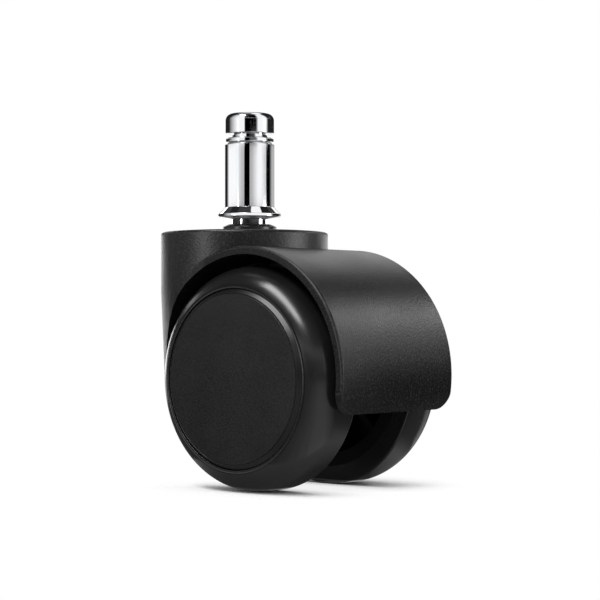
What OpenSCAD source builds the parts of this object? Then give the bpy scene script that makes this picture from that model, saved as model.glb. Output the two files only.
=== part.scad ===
// Hooded twin-wheel chair caster on a push-in grip-ring stem.
// The origin is on the swivel axis, where the stem's plain shank meets its collar.
// +Z runs up the stem, +X from the swivel axis towards the axle, and Y along the axle.
// Right is the -Y side and left is the +Y side.

/* [Wheels] */
// Diameter of each wheel over its tread
wheel_d = 48; // [40:0.5:60]
// Width of each wheel, from its inner edge to the outermost point of its side
wheel_w = 13; // [10.5:0.5:18]
// Radius of the round shoulder between the tread and the wheel's side
shoulder_r = 7.4; // [5:0.2:10]
// Radius on the inner edge of the tread
tread_edge_r = 0.5; // [0.2:0.1:1.5]
// Thickness of the tyre over the wheel's core
tyre_t = 4; // [2.5:0.1:5]
// How far the tyre's lip reaches in over the end of the core
tyre_lip = 0.85; // [0.4:0.05:1.5]
// Height of the rib on the core that keys the tyre
tyre_key_h = 1; // [0.5:0.1:1.5]
// Width of the rib on the core that keys the tyre
tyre_key_w = 2; // [1:0.1:3]
// Radius of the valley that rings the hub cap in the tyre's side
valley_r = 0.75; // [0.5:0.05:1.2]
// Depth of that valley below the hub cap's face
valley_depth = 0.6; // [0.3:0.05:1]
// Wall of the core's barrel
barrel_t = 2.9; // [2:0.1:4]
// Thickness of the core's disc
disc_t = 2; // [1.2:0.1:3]
// Number of ribs behind the core's disc
rib_count = 8; // [5:1:12]
// Thickness of each rib
rib_t = 1.6; // [1:0.1:2.5]
// How far the ribs stop short of the hub's inner end
rib_setback = 1.8; // [1:0.1:3]
// Wall of the hub around its bush
hub_wall = 2.4; // [1.5:0.1:4]

/* [Hub caps] */
// Thickness of the hub cap's disc
cap_t = 1.8; // [1.4:0.1:2.5]
// How far the hub cap's face sits in from the outermost point of the wheel's side
cap_inset = 0.2; // [0:0.05:0.6]
// Width of the bevel around the hub cap's face
cap_bevel_w = 0.9; // [0.4:0.05:1.5]
// Drop of that bevel
cap_bevel_h = 0.8; // [0.3:0.05:1.2]
// Width of the fine line between the face and its bevel
cap_line_w = 0.25; // [0.15:0.05:0.5]
// Depth of that line
cap_line_h = 0.15; // [0.1:0.05:0.4]
// Wall of the skirt that snaps into the core's barrel
cap_skirt_t = 1.5; // [1:0.1:2.5]
// Length of that skirt
cap_skirt_h = 2.2; // [1.5:0.1:2.6]

/* [Housing] */
// Diameter of the round boss around the stem
boss_d = 37.6; // [31:0.2:46]
// How far the boss's centre sits behind the swivel axis
boss_setback = 1.55; // [0:0.05:3]
// Space from the stem's shoulder down to the top of the boss
boss_gap = 5.6; // [4.8:0.1:8]
// Radius on the boss's top edge
boss_edge_r = 0.7; // [0.3:0.1:1.5]
// Depth below the boss's top at which its side starts to draw in
boss_straight_h = 13.5; // [8:0.5:18]
// How much the boss's radius draws in by its lower edge
boss_draft = 0.9; // [0.3:0.1:1.5]
// How far the boss reaches below the axle
boss_drop = 2; // [0:0.5:6]
// Wall of the boss around the pocket in its back
boss_wall = 2.4; // [1.8:0.1:3]
// Thickness of material above that pocket
boss_top_t = 3; // [2:0.1:5]
// Wall of the hood over the wheels
hood_wall = 1.75; // [1.4:0.05:3]
// Space between the tread and the hood
wheel_gap = 1.85; // [1.2:0.05:3]
// How far the centre of the hood's curve sits above the axle
hood_rise = 0.6; // [0:0.1:1.2]
// Step from the boss's top down to the top of the hood
hood_step = 3.9; // [2.5:0.1:6]
// How far the hood's front edge reaches below the axle
hood_skirt = 6.8; // [2:0.2:10]
// Radius of the hood's two lower corners
hood_corner_r = 5; // [2:0.5:8]
// Radius on the hood's long outer edges
hood_edge_r = 0.5; // [0.2:0.1:1]
// How far each side of the hood sits in from the side of the boss
hood_inset = 0.1; // [0.05:0.05:0.6]
// Width of the centre section between the wheels, which is also the stem tube's diameter
centre_w = 16.4; // [13.6:0.2:20]
// Space between the centre section and each wheel's inner edge
wheel_side_gap = 1; // [0.8:0.05:2]
// Thickness of the centre web
web_t = 4; // [2.5:0.1:6]
// Angle above level at which the web's front edge meets the hood
web_front_angle = 42; // [30:1:60]
// Thickness of the closed lower end of the stem tube
tube_end_t = 2.7; // [2:0.1:4]

/* [Stem] */
// Diameter of the plain shank that goes into the chair's socket
stem_d = 11.1; // [9:0.1:13.5]
// Height of the stem above its shoulder
stem_len = 21.1; // [18:0.1:26]
// Height of the button head
head_h = 4.6; // [3.5:0.1:6]
// How far the head's side sits in from the shank's side
head_inset = 0.1; // [0.05:0.05:0.5]
// Radius on the head's top edge
head_edge_r = 2.1; // [1:0.1:3]
// Height of the groove between the head and the shank
groove_h = 2.1; // [1.8:0.1:3]
// Depth of that groove below the shank's side
groove_depth = 1.65; // [1.2:0.05:2]
// Chamfer on the shank's top edge
shank_chamfer = 0.3; // [0.1:0.05:0.6]
// Width of the collar beyond the shank
collar_lip = 1.55; // [1:0.05:2.5]
// Height of the collar's sloping upper side
collar_cone_h = 1.5; // [1:0.1:2]
// Height of the collar's rim
collar_rim_h = 0.7; // [0.4:0.1:1.2]
// Height of the collar's sloping underside
collar_under_h = 0.4; // [0.2:0.1:0.8]
// Height of the grip ring
ring_h = 1.2; // [0.8:0.1:1.6]
// How far the seated grip ring's side sits in from the shank's side
ring_inset = 0.2; // [0.1:0.05:0.5]
// Gap in the split grip ring, in degrees
ring_gap_angle = 24; // [10:1:60]

/* [Swivel] */
// Diameter of the stem's journal, on which the caster swivels
journal_d = 8; // [6.5:0.1:9.6]
// Depth of the stem's tip below its shoulder
stem_reach = 33; // [30.5:0.5:40]
// Chamfer on the stem's tip
tip_chamfer = 1; // [0.4:0.1:2]
// Wall of the swivel bush
bush_wall = 1.15; // [0.8:0.05:1.4]
// Width of the bush's flange beyond its sleeve
bush_lip = 1.1; // [0.6:0.1:2]
// Height of that flange
bush_flange_h = 1.3; // [0.8:0.1:1.6]
// Length of the bush's sleeve in the boss
bush_len = 18; // [12:0.5:19]
// Thickness of the clip that keeps the stem in
stem_clip_t = 1; // [0.6:0.1:1.5]
// Depth of that clip's groove in the journal
stem_clip_groove = 0.8; // [0.5:0.1:1.2]
// How far the clip's outer side sits in from the bush's outer side
stem_clip_inset = 0.1; // [0:0.05:0.3]
// Gap in that clip, in degrees
stem_clip_gap_angle = 60; // [30:5:90]
// Height of the room in the stem tube for that clip
clip_room_h = 3.5; // [2.5:0.1:4]
// Depth of that room beyond the bush's seat
clip_room_depth = 0.4; // [0.3:0.1:0.8]
// Thickness of the thrust pad under the stem's tip
pad_t = 1.2; // [0.8:0.1:2]

/* [Axle] */
// Distance from the swivel axis forward to the axle
axle_offset = 15; // [12.5:0.5:18]
// Diameter of the axle
axle_d = 6; // [5:0.1:7.2]
// Wall of the housing's tube around the axle
axle_wall = 3.5; // [2.5:0.1:5]
// Wall of the bush in each wheel
wheel_bush_wall = 1.05; // [0.8:0.05:1.4]
// Thickness of that bush's flange
wheel_bush_flange_t = 0.8; // [0.5:0.1:1.2]
// Width of that flange beyond the bush
wheel_bush_lip = 1.4; // [0.8:0.1:2]
// Thickness of each washer
washer_t = 0.6; // [0.4:0.1:1]
// Width of each washer's ring
washer_ring_w = 2.9; // [2:0.1:3.5]
// Thickness of each axle clip
axle_clip_t = 0.7; // [0.5:0.1:1]
// Depth of each clip's groove in the axle
axle_clip_groove = 0.6; // [0.4:0.1:1]
// How far each clip stands out around the axle
axle_clip_proud = 1.9; // [1.2:0.1:2.5]
// Gap in each clip, in degrees
axle_clip_gap_angle = 70; // [40:5:110]
// Length of axle beyond each clip
axle_end = 0.7; // [0.5:0.1:1]
// Chamfer on the axle's ends
axle_chamfer = 0.4; // [0.2:0.1:0.5]
// Space between the axle's ends and the hub caps
axle_end_gap = 0.8; // [0.4:0.1:1.5]

/* [Clearances] */
// Radial clearance of the stem in its bush
swivel_clear = 0.06; // [0.02:0.01:0.1]
// Radial clearance of the journal in the stem tube below its bush
bore_clear = 0.4; // [0.3:0.05:0.8]
// Space between the stem's tip and the thrust pad
tip_gap = 0.1; // [0.05:0.05:0.3]
// Space between the stem's clip and the bush above it
stem_clip_gap = 0.3; // [0.1:0.05:0.5]
// Radial clearance of each wheel's bush on the axle
axle_clear = 0.05; // [0.02:0.01:0.1]
// Radial clearance of each washer on the axle
washer_clear = 0.1; // [0.05:0.05:0.2]
// Sideways play of each wheel between its washers, at each end
side_play = 0.2; // [0.1:0.05:0.4]
// Gap between the hub cap's edge and the tyre's lip
cap_gap = 0.1; // [0.05:0.05:0.3]
// Radial gap between the hub cap's skirt and the core's barrel
skirt_gap = 0.05; // [0.02:0.01:0.1]

/* [Hidden] */
$fn = 96;

// How far a cutter passes the surface it cuts
over = 1;
// Larger than any part of the caster, for half-spaces
far = 200;

// Stem, from the top down
stem_r = stem_d / 2;
head_r = stem_r - head_inset;
head_z = stem_len - head_h;
shank_top = head_z - groove_h;
groove_r = stem_r - groove_depth;
collar_r = stem_r + collar_lip;
collar_rim_z = -collar_cone_h - collar_rim_h;
collar_bottom = collar_rim_z - collar_under_h;
journal_r = journal_d / 2;

// Swivel, from the top down
boss_top = -boss_gap;
bush_ir = journal_r + swivel_clear;
bush_or = bush_ir + bush_wall;
bush_end = boss_top - bush_len;
clip_top = bush_end - stem_clip_gap;
clip_bottom = clip_top - stem_clip_t;
clip_groove_r = journal_r - stem_clip_groove;
bore_r = journal_r + bore_clear;
pad_top = -stem_reach - tip_gap;
pad_bottom = pad_top - pad_t;
tube_bottom = pad_bottom - tube_end_t;

// Wheels and hood, in side view
wheel_r = wheel_d / 2;
well_r = wheel_r + wheel_gap;
hood_r = well_r + hood_wall;
hood_z = boss_top - hood_step - hood_r;
axle_z = hood_z - hood_rise;
axle_r = axle_d / 2;
axle_tube_r = axle_r + axle_wall;
boss_r = boss_d / 2;
boss_x = -boss_setback;
boss_bottom = axle_z - boss_drop;
hood_half_w = boss_r - hood_inset;
hood_bottom = axle_z - hood_skirt;
pocket_x = axle_offset - well_r - boss_wall;
pocket_r = boss_r - boss_draft - boss_wall;

// Along the axle, as distances out from the caster's middle plane
centre_half = centre_w / 2;
wheel_in = centre_half + wheel_side_gap;
wheel_out = wheel_in + wheel_w;
hub_in = centre_half + washer_t + side_play;
cap_face = wheel_out - cap_inset;
cap_back = cap_face - cap_t;
axle_half = cap_back - axle_end_gap;
axle_clip_out = axle_half - axle_end;
axle_clip_in = axle_clip_out - axle_clip_t;
hub_out = axle_clip_in - washer_t - side_play;

// Wheel, from the tread inwards
core_r = wheel_r - tyre_t;
barrel_r = core_r - barrel_t;
lip_r = core_r - tyre_lip;
cap_r = lip_r - cap_gap;
cap_face_r = cap_r - cap_bevel_w;
skirt_r = barrel_r - skirt_gap;
wheel_bush_ir = axle_r + axle_clear;
wheel_bush_or = wheel_bush_ir + wheel_bush_wall;
hub_r = wheel_bush_or + hub_wall;
washer_ir = axle_r + washer_clear;
tyre_key_mid = (wheel_in + wheel_out - shoulder_r) / 2;

// Colours
nylon = "#232325";
tread = "#1b1b1d";
moulding = "#2b2b2e";
acetal = "#121213";
chromed = "#d6d8db";
spring = "#8f949b";
steel = "#b4b7bb";

right = -1;
left = 1;

// What is cut from a square corner at a point to round it: out gives the corner's direction
module corner_cut(at, radius, out) {
    translate([at.x - out.x * radius, at.y - out.y * radius])
        difference() {
            translate([out.x > 0 ? 0 : -radius - over, out.y > 0 ? 0 : -radius - over])
                square(radius + over);
            circle(radius);
        }
}

// Turns a shape made about +Z so that +Z points out along the axle on the given side
module on_axle(side) {
    translate([axle_offset, 0, axle_z])
        rotate([-90 * side, 0, 0])
            children();
}

// The same, about the centre of the hood's curve
module on_hood() {
    translate([axle_offset, 0, hood_z])
        rotate([-90, 0, 0])
            children();
}

// A rectangle from its lower left corner to its upper right one
module block(low, high) {
    polygon([low, [high.x, low.y], high, [low.x, high.y]]);
}

// A flat ring, from one height to another
module ring(inner, outer, bottom, top) {
    rotate_extrude()
        block([inner, bottom], [outer, top]);
}

// A flat ring with a gap, which faces the direction given in degrees
module split_ring(inner, outer, bottom, top, gap_angle, gap_at) {
    rotate([0, 0, gap_at + gap_angle / 2])
        rotate_extrude(angle = 360 - gap_angle)
            block([inner, bottom], [outer, top]);
}

module stem() {
    color(chromed)
        rotate_extrude()
            difference() {
                polygon([
                    [0, stem_len],
                    [head_r, stem_len],
                    [head_r, head_z],
                    [groove_r, head_z],
                    [groove_r, shank_top],
                    [stem_r - shank_chamfer, shank_top],
                    [stem_r, shank_top - shank_chamfer],
                    [stem_r, 0],
                    [collar_r, -collar_cone_h],
                    [collar_r, collar_rim_z],
                    [journal_r, collar_bottom],
                    [journal_r, clip_top],
                    [clip_groove_r, clip_top],
                    [clip_groove_r, clip_bottom],
                    [journal_r, clip_bottom],
                    [journal_r, tip_chamfer - stem_reach],
                    [journal_r - tip_chamfer, -stem_reach],
                    [0, -stem_reach],
                ]);
                corner_cut([head_r, stem_len], head_edge_r, [1, 1]);
            }
}

module grip_ring() {
    color(chromed)
        split_ring(groove_r, stem_r - ring_inset, shank_top, shank_top + ring_h, ring_gap_angle, 135);
}

module stem_clip() {
    color(spring)
        split_ring(clip_groove_r, bush_or - stem_clip_inset, clip_bottom, clip_top, stem_clip_gap_angle, 180);
}

module swivel_bush() {
    color(acetal)
        rotate_extrude()
            polygon([
                [bush_ir, boss_top + bush_flange_h],
                [bush_or + bush_lip, boss_top + bush_flange_h],
                [bush_or + bush_lip, boss_top],
                [bush_or, boss_top],
                [bush_or, bush_end],
                [bush_ir, bush_end],
            ]);
}

module thrust_pad() {
    color(steel)
        translate([0, 0, pad_bottom])
            cylinder(h = pad_t, r = bore_r);
}

// The boss as a full turning, with its round top edge and drawn-in lower side
module boss_solid() {
    translate([boss_x, 0, 0])
        rotate_extrude()
            difference() {
                polygon([
                    [0, boss_top],
                    [boss_r, boss_top],
                    [boss_r, boss_top - boss_straight_h],
                    [boss_r - boss_draft, boss_bottom],
                    [0, boss_bottom],
                ]);
                corner_cut([boss_r, boss_top], boss_edge_r, [1, 1]);
            }
}

// The hood's outline seen from the front: square above, with round lower corners
module hood_front() {
    difference() {
        translate([-hood_half_w - over, hood_bottom])
            square([2 * (hood_half_w + over), far]);
        corner_cut([hood_half_w, hood_bottom], hood_corner_r, [1, -1]);
        corner_cut([-hood_half_w, hood_bottom], hood_corner_r, [-1, -1]);
    }
}

// The hood as a solid drum with round edges, kept in front of the boss's middle
module hood_solid() {
    intersection() {
        on_hood()
            rotate_extrude()
                difference() {
                    block([0, -hood_half_w], [hood_r, hood_half_w]);
                    corner_cut([hood_r, hood_half_w], hood_edge_r, [1, 1]);
                    corner_cut([hood_r, -hood_half_w], hood_edge_r, [1, -1]);
                }
        translate([boss_x, 0, 0])
            rotate([90, 0, 90])
                linear_extrude(height = far)
                    hood_front();
    }
}

// The pocket that cores out the back of the boss, open below and split by the web
module boss_pocket() {
    translate([boss_x, 0, boss_bottom - over])
        linear_extrude(height = boss_top - boss_top_t - boss_bottom + over)
            difference() {
                circle(pocket_r);
                translate([pocket_x - boss_x, -far / 2])
                    square(far);
                translate([-far / 2, -web_t / 2])
                    square([far, web_t]);
            }
}

// The web between the stem tube, the axle tube and the hood, in side view
module web_outline() {
    intersection() {
        polygon([
            [0, boss_top],
            [0, tube_bottom],
            [axle_offset, axle_z - axle_tube_r],
            [axle_offset + axle_tube_r, axle_z],
            [axle_offset + hood_r * cos(web_front_angle), hood_z + hood_r * sin(web_front_angle)],
            [axle_offset + hood_r, boss_top],
        ]);
        translate([axle_offset, hood_z])
            circle(well_r + hood_wall / 2);
    }
}

module housing() {
    color(nylon)
        difference() {
            union() {
                difference() {
                    union() {
                        boss_solid();
                        hood_solid();
                    }
                    on_hood()
                        cylinder(h = far, r = well_r, center = true);
                    boss_pocket();
                }
                translate([0, 0, tube_bottom])
                    cylinder(h = boss_top - boss_top_t - tube_bottom, r = centre_half);
                on_axle(left)
                    cylinder(h = centre_w, r = axle_tube_r, center = true);
                rotate([90, 0, 0])
                    linear_extrude(height = web_t, center = true)
                        web_outline();
            }
            translate([0, 0, bush_end])
                cylinder(h = bush_len + over, r = bush_or);
            translate([0, 0, bush_end - clip_room_h])
                cylinder(h = clip_room_h, r = bush_or + clip_room_depth);
            translate([0, 0, pad_bottom])
                cylinder(h = bush_end - pad_bottom, r = bore_r);
            on_axle(left)
                cylinder(h = far, r = axle_r, center = true);
        }
}

module axle() {
    color(steel)
        on_axle(left)
            rotate_extrude()
                polygon([
                    [0, -axle_half],
                    [axle_r - axle_chamfer, -axle_half],
                    [axle_r, axle_chamfer - axle_half],
                    [axle_r, -axle_clip_out],
                    [axle_r - axle_clip_groove, -axle_clip_out],
                    [axle_r - axle_clip_groove, -axle_clip_in],
                    [axle_r, -axle_clip_in],
                    [axle_r, axle_clip_in],
                    [axle_r - axle_clip_groove, axle_clip_in],
                    [axle_r - axle_clip_groove, axle_clip_out],
                    [axle_r, axle_clip_out],
                    [axle_r, axle_half - axle_chamfer],
                    [axle_r - axle_chamfer, axle_half],
                    [0, axle_half],
                ]);
}

module inner_washer(side) {
    color(steel)
        on_axle(side)
            ring(washer_ir, washer_ir + washer_ring_w, centre_half, centre_half + washer_t);
}

module outer_washer(side) {
    color(steel)
        on_axle(side)
            ring(washer_ir, washer_ir + washer_ring_w, axle_clip_in - washer_t, axle_clip_in);
}

module axle_clip(side) {
    color(spring)
        on_axle(side)
            split_ring(axle_r - axle_clip_groove, axle_r + axle_clip_proud, axle_clip_in, axle_clip_out,
                axle_clip_gap_angle, 90);
}

module wheel_core(side) {
    color(moulding)
        on_axle(side)
            difference() {
                union() {
                    ring(barrel_r, core_r, wheel_in, cap_back);
                    ring(core_r - over, core_r + tyre_key_h,
                        tyre_key_mid - tyre_key_w / 2, tyre_key_mid + tyre_key_w / 2);
                    ring(wheel_bush_or, barrel_r + over, hub_out - disc_t, hub_out);
                    ring(wheel_bush_or, hub_r, hub_in + wheel_bush_flange_t, hub_out);
                    for (i = [0:rib_count - 1])
                        rotate([0, 0, i * 360 / rib_count])
                            translate([hub_r - hub_wall / 2, -rib_t / 2, hub_in + rib_setback])
                                cube([barrel_r - hub_r + hub_wall / 2 + over, rib_t,
                                    hub_out - disc_t / 2 - hub_in - rib_setback]);
                }
                translate([0, 0, hub_in - over])
                    cylinder(h = wheel_w, r = wheel_bush_or);
            }
}

module wheel_bush(side) {
    color(acetal)
        on_axle(side)
            rotate_extrude()
                polygon([
                    [wheel_bush_ir, hub_in],
                    [wheel_bush_or + wheel_bush_lip, hub_in],
                    [wheel_bush_or + wheel_bush_lip, hub_in + wheel_bush_flange_t],
                    [wheel_bush_or, hub_in + wheel_bush_flange_t],
                    [wheel_bush_or, hub_out],
                    [wheel_bush_ir, hub_out],
                ]);
}

module tyre(side) {
    color(tread)
        on_axle(side)
            rotate_extrude()
                difference() {
                    block([lip_r, wheel_in], [wheel_r, wheel_out]);
                    corner_cut([wheel_r, wheel_out], shoulder_r, [1, 1]);
                    corner_cut([wheel_r, wheel_in], tread_edge_r, [1, -1]);
                    translate([lip_r + valley_r / 2, cap_face - valley_depth + valley_r])
                        circle(valley_r);
                    block([lip_r - over, wheel_in - over], [core_r, cap_back]);
                    block([core_r - over, tyre_key_mid - tyre_key_w / 2],
                        [core_r + tyre_key_h, tyre_key_mid + tyre_key_w / 2]);
                }
}

module hub_cap(side) {
    color(moulding)
        on_axle(side)
            rotate_extrude()
                difference() {
                    polygon([
                        [0, cap_face],
                        [cap_face_r, cap_face],
                        [cap_r, cap_face - cap_bevel_h],
                        [cap_r, cap_back],
                        [skirt_r, cap_back],
                        [skirt_r, cap_back - cap_skirt_h],
                        [skirt_r - cap_skirt_t, cap_back - cap_skirt_h],
                        [skirt_r - cap_skirt_t, cap_back],
                        [0, cap_back],
                    ]);
                    block([cap_face_r - cap_line_w, cap_face - cap_line_h], [cap_face_r, cap_face + over]);
                }
}

stem();
grip_ring();
stem_clip();
housing();
swivel_bush();
thrust_pad();
axle();
inner_washer(right);  // right_inner_washer
inner_washer(left);  // left_inner_washer
outer_washer(right);  // right_outer_washer
outer_washer(left);  // left_outer_washer
axle_clip(right);  // right_axle_clip
axle_clip(left);  // left_axle_clip
wheel_core(right);  // right_wheel_core
wheel_core(left);  // left_wheel_core
wheel_bush(right);  // right_wheel_bush
wheel_bush(left);  // left_wheel_bush
tyre(right);  // right_tyre
tyre(left);  // left_tyre
hub_cap(right);  // right_hub_cap
hub_cap(left);  // left_hub_cap
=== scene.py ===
"""Looks of a hooded twin-wheel chair caster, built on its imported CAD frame.

The caster's sizes are in millimetres and become metres in its meshes and materials. The studio's distances
are in metres, unless a class says otherwise, and a brightness or radiance of 1 is white. The frame is the
CAD's own: +Z up the stem, +X from the swivel axis towards the axle, the right wheel on the -Y side.
"""

import logging
from dataclasses import dataclass, field
from enum import Enum

import bpy
import numpy as np
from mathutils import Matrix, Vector


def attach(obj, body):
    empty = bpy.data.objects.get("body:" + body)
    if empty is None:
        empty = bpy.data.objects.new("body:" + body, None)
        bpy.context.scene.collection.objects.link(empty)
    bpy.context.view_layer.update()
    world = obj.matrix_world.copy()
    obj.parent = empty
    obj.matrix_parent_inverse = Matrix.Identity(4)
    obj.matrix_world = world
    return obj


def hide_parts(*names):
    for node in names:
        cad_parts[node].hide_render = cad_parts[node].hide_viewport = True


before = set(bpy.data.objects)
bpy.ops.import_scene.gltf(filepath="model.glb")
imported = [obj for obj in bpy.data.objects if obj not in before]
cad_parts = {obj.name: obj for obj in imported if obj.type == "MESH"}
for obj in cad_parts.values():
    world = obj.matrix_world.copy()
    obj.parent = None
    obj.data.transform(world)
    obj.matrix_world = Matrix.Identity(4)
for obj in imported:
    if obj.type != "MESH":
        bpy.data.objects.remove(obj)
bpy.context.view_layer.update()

log = logging.getLogger("caster")

Array = np.ndarray
Socket = bpy.types.NodeSocket
Piece = bpy.types.Object
Finish = bpy.types.Material
Range = tuple[float, float]
Triple = tuple[float, float, float]
Feed = Socket | float | tuple[float, ...]
Inputs = dict[str | int, Feed]

MM = 0.001
# The part of a noise's values that most of a surface shows
NOISE = (0.3, 0.7)
# The sharpest corner of a turned outline, in millimetres
LEAST_RADIUS = 0.02
# Points on a corner's arc: for each radian, and more for each millimetre of its radius, within limits
ARC_STEPS = 5.0
RADIUS_STEPS = 5.0 / 3.0
FEWEST_STEPS = 4
MOST_STEPS = 40


def metres(values: Range) -> Range:
    """A range in millimetres, carried to metres."""
    return values[0] * MM, values[1] * MM


def unit(vectors: Array) -> Array:
    """A list of vectors, each made one long."""
    return vectors / np.linalg.norm(vectors, axis=1, keepdims=True)


def placed(name: str, data: bpy.types.ID) -> Piece:
    """Makes an object of some data and puts it in the scene.

    Args:
        name: the object's name.
        data: its mesh, lamp or camera.

    Returns:
        The object.
    """
    made = bpy.data.objects.new(name, data)
    bpy.context.scene.collection.objects.link(made)
    return made


class Side(Enum):
    """The two wheels, by the way their outer faces point along Y."""

    RIGHT = -1
    LEFT = 1

    @property
    def label(self) -> str:
        """The side's name as the CAD nodes write it."""
        return self.name.lower()


class Body(Enum):
    """The CAD bodies that pieces ride on."""

    STEM = "stem"
    SWIVEL = "swivel"
    RIGHT_WHEEL = "right_wheel"
    LEFT_WHEEL = "left_wheel"


class Graph:
    """A node tree, with short calls for the nodes that the finishes and the studio use."""

    def __init__(self, owner: Finish | bpy.types.World) -> None:
        """Empties the owner's tree and gives it an output.

        Args:
            owner: the material or world.
        """
        owner.use_nodes = True
        self.tree = owner.node_tree
        self.tree.nodes.clear()
        is_world = isinstance(owner, bpy.types.World)
        self.output = self.add("ShaderNodeOutputWorld" if is_world else "ShaderNodeOutputMaterial")

    def add(self, kind: str, inputs: Inputs | None = None, **settings: object) -> bpy.types.Node:
        """Adds a node.

        Args:
            kind: the node's type.
            inputs: what its inputs are joined or set to, by name or number.
            settings: its own properties, by name.

        Returns:
            The node.
        """
        node = self.tree.nodes.new(kind)
        for name, value in settings.items():
            setattr(node, name, value)
        for name, value in (inputs or {}).items():
            self.join(node, name, value)
        return node

    def join(self, node: bpy.types.Node, name: str | int, value: Feed) -> None:
        """Joins a socket to a node's input, or sets the input to a plain value.

        Args:
            node: the node.
            name: its input's name or number.
            value: the socket or plain value.
        """
        if isinstance(value, Socket):
            self.tree.links.new(value, node.inputs[name])
        else:
            node.inputs[name].default_value = value

    def show(self, surface: Socket) -> None:
        """Puts a shader on the output."""
        self.join(self.output, "Surface", surface)

    def place(self) -> Socket:
        """The object's own coordinates, in metres."""
        return self.add("ShaderNodeTexCoord").outputs["Object"]

    def moved(
        self, shift: Triple = (0.0, 0.0, 0.0), spin: float = 0.0, scale: Triple = (1.0, 1.0, 1.0)
    ) -> Socket:
        """The object's own coordinates, scaled, turned about Z by some radians and shifted by metres."""
        inputs = {"Location": shift, "Rotation": (0.0, 0.0, spin), "Scale": scale, "Vector": self.place()}
        return self.add("ShaderNodeMapping", inputs).outputs["Vector"]

    def axes(self, vector: Socket) -> bpy.types.NodeOutputs:
        """A vector's X, Y and Z, by those names."""
        return self.add("ShaderNodeSeparateXYZ", {"Vector": vector}).outputs

    def length(self, vector: Socket) -> Socket:
        """A vector's length."""
        return self.add("ShaderNodeVectorMath", {0: vector}, operation="LENGTH").outputs["Value"]

    def noise(self, where: Socket, scale: float, detail: float = 2.0, roughness: float = 0.5) -> Socket:
        """Fractal noise from 0 to 1, with grains per metre, octaves and the weight of each finer one."""
        inputs = {"Vector": where, "Scale": scale, "Detail": detail, "Roughness": roughness}
        return self.add("ShaderNodeTexNoise", inputs).outputs["Fac"]

    def span(self, value: Socket, source: Range, target: Range = (0.0, 1.0), smooth: bool = True) -> Socket:
        """Carries a value from one range to another, held at both ends.

        Args:
            value: what is carried.
            source: the range it comes from.
            target: the range it goes to.
            smooth: whether it eases in and out.

        Returns:
            The carried value.
        """
        names = ("Value", "From Min", "From Max", "To Min", "To Max")
        inputs = dict(zip(names, (value, *source, *target)))
        ease = "SMOOTHSTEP" if smooth else "LINEAR"
        return self.add("ShaderNodeMapRange", inputs, interpolation_type=ease).outputs["Result"]

    def sum(self, operation: str, first: Socket, second: Socket | float) -> Socket:
        """One step of arithmetic on two values, by the Math node's name for it."""
        return self.add("ShaderNodeMath", {0: first, 1: second}, operation=operation).outputs["Value"]

    def blend(self, first: Socket, second: Socket, share: float) -> Socket:
        """Adds two values by weight, of which the second one's is its share."""
        kept = self.sum("MULTIPLY", first, 1.0 - share)
        return self.sum("ADD", kept, self.sum("MULTIPLY", second, share))

    def tone(self, factor: Socket, dark: Triple, light: Triple) -> Socket:
        """A colour between a dark one, where the factor is 0, and a light one, where it is 1."""
        # This node has sockets of the same names for numbers, so the colours' go by their places
        inputs = {0: factor, 6: (*dark, 1.0), 7: (*light, 1.0)}
        return self.add("ShaderNodeMix", inputs, data_type="RGBA").outputs[2]


class Coat(Graph):
    """A material's nodes around one Principled shader."""

    def __init__(self, name: str) -> None:
        """Starts a material.

        Args:
            name: its name.
        """
        self.material = bpy.data.materials.new(name)
        super().__init__(self.material)
        self.shader = self.add("ShaderNodeBsdfPrincipled")
        self.show(self.shader.outputs["BSDF"])

    def feed(self, name: str, value: Socket | float) -> None:
        """Joins or sets the shader's input of that name."""
        self.join(self.shader, name, value)

    def bump(self, height: Socket, depth: float) -> None:
        """Raises the surface by a relief from 0 to 1, of a depth in millimetres."""
        inputs = {"Strength": 1.0, "Distance": depth * MM, "Height": height}
        self.feed("Normal", self.add("ShaderNodeBump", inputs).outputs["Normal"])


class Glow(Graph):
    """A self-lit surface, which no light is aimed from."""

    def __init__(self, name: str, brightness: float) -> None:
        """Starts a material.

        Args:
            name: its name.
            brightness: its radiance, where 1 is white.
        """
        self.material = bpy.data.materials.new(name)
        super().__init__(self.material)
        self.shader = self.add("ShaderNodeEmission", {"Strength": brightness})
        self.show(self.shader.outputs["Emission"])
        self.material.cycles.emission_sampling = "NONE"


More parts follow.
